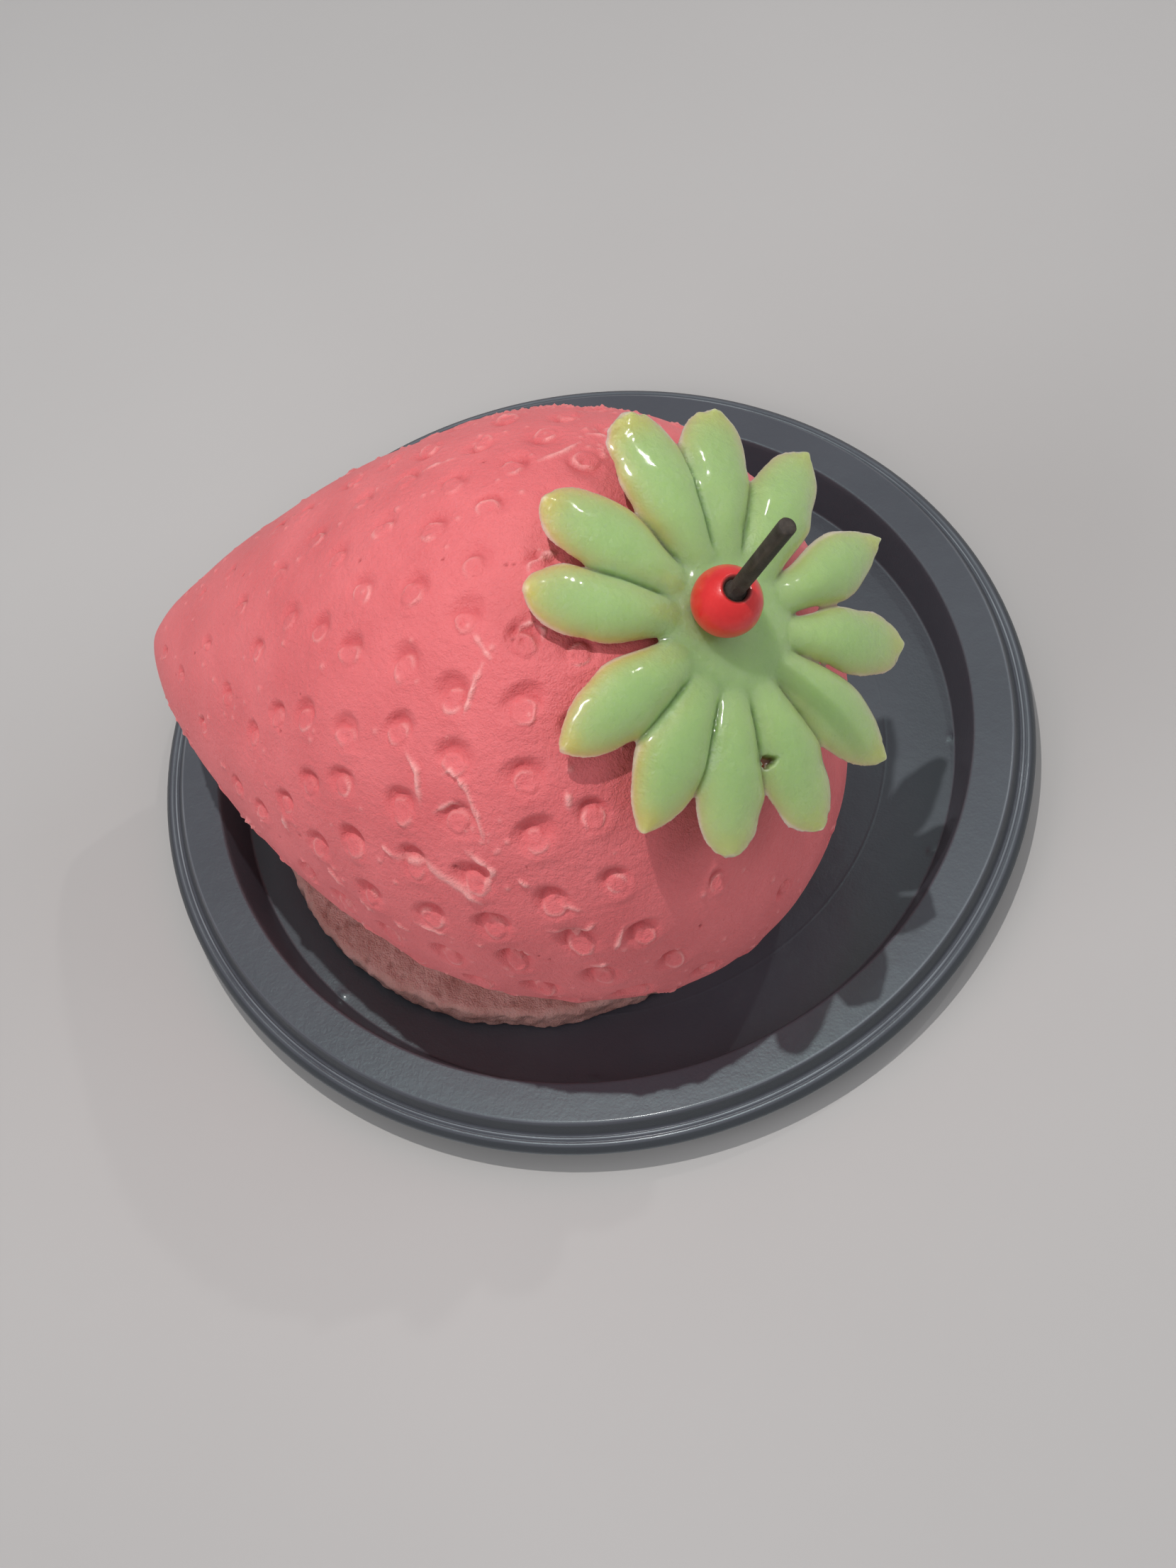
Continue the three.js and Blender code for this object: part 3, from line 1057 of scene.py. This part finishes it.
def make_pick(material, centre):
    """A stick with a sharpened lower end, held in the bead's bore by a slight collar."""
    rows, steps = 150, 40
    point_length, collar = 5, 0.28
    height = np.linspace(-PICK_BELOW + 0.4, PICK_ABOVE - 0.12, rows)
    taper = np.clip((height + PICK_BELOW) / point_length, 0.05, 1)
    swollen = smooth_step(1.2, 2.0, height) * (1 - smooth_step(3.0, 3.2, height))
    profile = [(PICK_RADIUS * t + collar * w, z) for t, w, z in zip(taper, swollen, height)]
    profile += [(PICK_RADIUS - 0.1, PICK_ABOVE), (PICK_RADIUS * 0.5, PICK_ABOVE)]
    inner = turned_points(profile, steps)
    points = np.vstack([[0, 0, -PICK_BELOW], inner, [0, 0, PICK_ABOVE]])
    fibre = lumps(points * np.array([1, 1, 0.08]), 0.28, 71)
    off_axis = np.hypot(points[:, 0], points[:, 1]) > 0.3
    points = points + level_out(points) * (0.035 * fibre * off_axis)[:, None]
    faces = capped_faces(len(profile), steps)
    placed = along_axis(points, PICK_AXIS, centre)
    return store("pick_stick", placed, faces, material, {"fibre": np.clip(fibre, 0, 1)})


# -------- biscuit and tray


def make_biscuit(material):
    """A disc with rounded edges, a crumbly top full of pores and a ragged rim."""
    low, high = node_box("biscuit")
    centre = (low + high) / 2
    radius = (high[0] - low[0]) / 2 - 0.35
    thick = high[2] - low[2]
    edge = 0.9
    flat = radius - edge
    quarter = math.pi / 2
    profile = [(r, 0.0) for r in np.linspace(0.8, flat, 40)]
    profile += [
        (flat + edge * math.sin(a), edge - edge * math.cos(a)) for a in np.linspace(0.2, quarter, 6)
    ]
    profile += [(radius, z) for z in np.linspace(1.2, thick - 1.1, 8)]
    profile += [
        (flat + edge * math.cos(a), thick - edge + edge * math.sin(a))
        for a in np.linspace(0, quarter - 0.2, 6)
    ]
    profile += [(r, thick) for r in np.linspace(flat, 0.8, 90)]
    steps = 620
    points = np.vstack([[0, 0, 0], turned_points(profile, steps), [0, 0, thick]])
    rim = smooth_step(radius - 3, radius - 0.3, np.hypot(points[:, 0], points[:, 1]))
    ragged = 0.3 * lumps(points, 7, 81) + 0.3 * lumps(points, 1.6, 83)
    ragged += 0.14 * lumps(points, 0.7, 85)
    points = points + level_out(points) * (rim * ragged)[:, None]
    on_top = points[:, 2] > 0.6
    crumb = 0.12 * lumps(points, 1.6, 87) + 0.06 * lumps(points, 0.6, 89)
    points[:, 2] += np.where(on_top, crumb - 0.16, 0)
    # Pores: sunk a little and painted darker as shade.
    pore = smooth_step(0.5, 0.85, lumps(points, 1.1, 91))
    points[:, 2] -= 0.15 * pore * on_top
    points[:, 2] = np.clip(points[:, 2], 0, thick)
    placed = points + np.array([centre[0], centre[1], low[2]])
    faces = capped_faces(len(profile), steps)
    return store("biscuit_disc", placed, faces, material, {"pore": pore})


# Turns in degrees of the small burrs left at the edge of the tray's floor.
BURR_ANGLES = (14.2, -6.5, -72.9, -116.4)


def make_tray(material):
    """A thin pressed dish: recessed floor, raised ledge, and a flange with two small ridges."""
    edge, _, top = node_box("tray")[1]
    sheet = 0.7
    ridge = 0.035
    hem = 4.62
    # Each corner of the profile is (radius, height), over the top and then back underneath.
    floor_top = [(0.0, sheet), (40.0, sheet), (40.25, sheet + ridge), (40.5, sheet)]
    floor_top += [(48.2, sheet), (49.5, sheet)]
    ledge_top = [(51.4, top - 0.75), (51.7, top - 0.12), (54.2, top - 0.06), (56.8, top - 0.02)]
    flange_top = [(57.1, top - 0.45), (57.75, 5.9), (57.95, 5.76), (58.2, 5.95), (58.5, 5.62)]
    flange_top += [(58.85, 5.72), (59.35, 5.5), (59.75, 5.1), (edge - 0.02, hem)]
    flange_under = [(edge - sheet, hem), (58.8, 5.0), (58.0, 5.1)]
    ledge_under = [(56.5, top - 0.9), (52.3, top - 0.85), (51.9, top - 1.2)]
    floor_under = [(50.0, 0.12), (49.3, 0.0), (0.0, 0.0)]
    # Radius, height, width and strength of each painted highlight line at a folded edge.
    folds = (
        (49.6, sheet, 0.2, 0.3),
        (51.6, top - 0.1, 0.14, 0.4),
        (56.8, top, 0.12, 0.7),
        (58.2, 5.9, 0.13, 1.0),
        (58.85, 5.7, 0.12, 0.5),
        (edge - 0.1, 4.75, 0.15, 0.4),
    )
    profile = floor_top + ledge_top + flange_top + flange_under + ledge_under + floor_under
    profile = rounded(profile, 0.25, 6)

    # Short steps near the folds, so that their lines stay sharp, and longer ones between.
    fine = [profile[0]]
    for a, b in zip(profile, profile[1:]):
        cuts = max(1, int(np.linalg.norm(b - a) / 0.12))
        for i in range(1, cuts + 1):
            spot = a + (b - a) * i / cuts
            near_fold = any(math.hypot(spot[0] - r, spot[1] - z) < 0.5 for r, z, _, _ in folds)
            if near_fold or i == cuts or np.linalg.norm(spot - fine[-1]) > 0.9:
                fine.append(spot)
    fine = fine[1:-1]
    steps = 640
    points = np.vstack([[0, 0, sheet], turned_points(fine, steps), [0, 0, 0]])
    faces = capped_faces(len(fine), steps)
    turn = np.arctan2(points[:, 1], points[:, 0])
    gap = np.hypot(points[:, 0], points[:, 1])
    sag = 0.1 * np.cos(2 * turn + 0.6) * smooth_step(50, 60, gap)
    points[:, 2] += sag + 0.03 * lumps(points, 9, 95) * smooth_step(20, 56, gap)
    for angle in BURR_ANGLES:
        spot = np.array([48.9 * math.cos(angle * DEG), 48.9 * math.sin(angle * DEG), sheet])
        near = np.linalg.norm(points - spot, axis=1)
        points[:, 2] += 0.35 * np.exp(-((near / 0.45) ** 2))
    points[:, 2] = np.clip(points[:, 2], 0, top)

    # The painted highlight along each folded edge.
    bend = np.zeros(len(points))
    for radius, height, width, strength in folds:
        near = np.hypot(gap - radius, points[:, 2] - height)
        bend = np.maximum(bend, strength * np.exp(-((near / width) ** 2)))
    bend *= 0.75 + 0.25 * lumps(points, 5, 97)
    # Painted shade on the steep outer sides of the ledge and the flange.
    side = np.zeros(len(points))
    for start, end in ((56.95, 57.8), (59.1, 61)):
        side += smooth_step(start, start + 0.2, gap) * (1 - smooth_step(end - 0.2, end, gap))
    return store("tray_dish", points, faces, material, {"fold_highlight": bend, "side": side})


# -------- making the pieces

body_piece = make_mousse_body(velvet_coating())
bead_low, bead_high = node_box("bead")
bead_centre = (bead_low + bead_high) / 2
bead_radius = (bead_high[0] - bead_low[0]) / 2
pieces = {
    "mousse_body": (body_piece, "mousse"),
    "calyx": (make_calyx(green_gel(), body_piece, bead_centre, bead_radius), "calyx"),
    "bead": (make_bead(red_gloss(), bead_centre, bead_radius), "bead"),
    "pick": (make_pick(stained_wood(), bead_centre), "pick"),
    "biscuit": (make_biscuit(baked_biscuit()), "biscuit"),
    "tray": (make_tray(black_tray_plastic()), "tray"),
}
for node, (piece, slot) in pieces.items():
    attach(piece, "root")
    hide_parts(node)


# -------- floor, light and camera


def pale_floor():
    material, tree, shader = new_material("pale_floor", Specular_IOR_Level=0.2, Roughness=0.8)
    colour, _ = mottled(
        tree, (0.49, 0.475, 0.465), (0.53, 0.515, 0.505), blotch=6, speck=300, share=0.1
    )
    tree.links.new(colour, shader.inputs["Base Color"])
    return material


FLOOR_REACH = 1500.0
floor_points = FLOOR_REACH * np.array([(-1, -1, 0), (1, -1, 0), (1, 1, 0), (-1, 1, 0)])
floor = store("floor", floor_points, [(0, 1, 2, 3)], pale_floor(), smooth=False)


# The point that every light faces, in metres.
LIT_POINT = Vector((0, 0, 0.03))
WARM_WHITE = (1.0, 0.98, 0.96)


def soft_light(name, place, size, watts, colour, reflected=False):
    """A round lamp of this diameter. Only a reflected one shows in glossy surfaces."""
    lamp = bpy.data.lights.new(name, "AREA")
    lamp.shape = "DISK"
    lamp.size = size
    lamp.energy = watts
    lamp.color = colour
    lamp_object = add_object(name, lamp)
    lamp_object.location = place
    aim = LIT_POINT - Vector(place)
    lamp_object.rotation_euler = aim.to_track_quat("-Z", "Y").to_euler()
    lamp_object.visible_glossy = reflected


soft_light("key", (-0.022, -0.004, 0.385), 0.006, 0.6, WARM_WHITE, reflected=True)
soft_light("back", (0.2, 0.33, 0.53), 0.014, 0.26, WARM_WHITE, reflected=True)
soft_light("right_fill", (1.3, 0.5, 0.9), 1.3, 5.0, (0.94, 0.96, 1.0))
soft_light("near_fill", (-0.9, -1.2, 0.8), 1.2, 9.0, (0.97, 0.98, 1.0))

world = bpy.data.worlds.new("studio")
world.use_nodes = True
background = world.node_tree.nodes["Background"]
background.inputs["Color"].default_value = (0.9, 0.92, 0.95, 1)
background.inputs["Strength"].default_value = 0.4
bpy.context.scene.world = world

# The camera: its lens and place and the point it faces in millimetres, its roll in degrees.
LENS_MM = 56.42
EYE = np.array([64.4, -114.2, 222.1])
AIM = np.array([6.6, -15.6, 20.2])
ROLL = -15.4


def add_camera():
    look = unit(AIM - EYE)
    level = unit(np.cross(look, [0, 0, 1]))
    upright = np.cross(level, look)
    right = math.cos(ROLL * DEG) * level + math.sin(ROLL * DEG) * upright
    up = np.cross(right, look)
    data = bpy.data.cameras.new("camera")
    data.sensor_fit = "HORIZONTAL"
    data.sensor_width = 36.0
    data.lens = LENS_MM
    data.clip_start = 0.01
    camera = add_object("camera", data)
    turn = Matrix((right, up, -look)).transposed().to_4x4()
    camera.matrix_world = Matrix.Translation(Vector(EYE * MM)) @ turn
    bpy.context.scene.camera = camera


add_camera()
bpy.context.scene.view_settings.view_transform = "Standard"
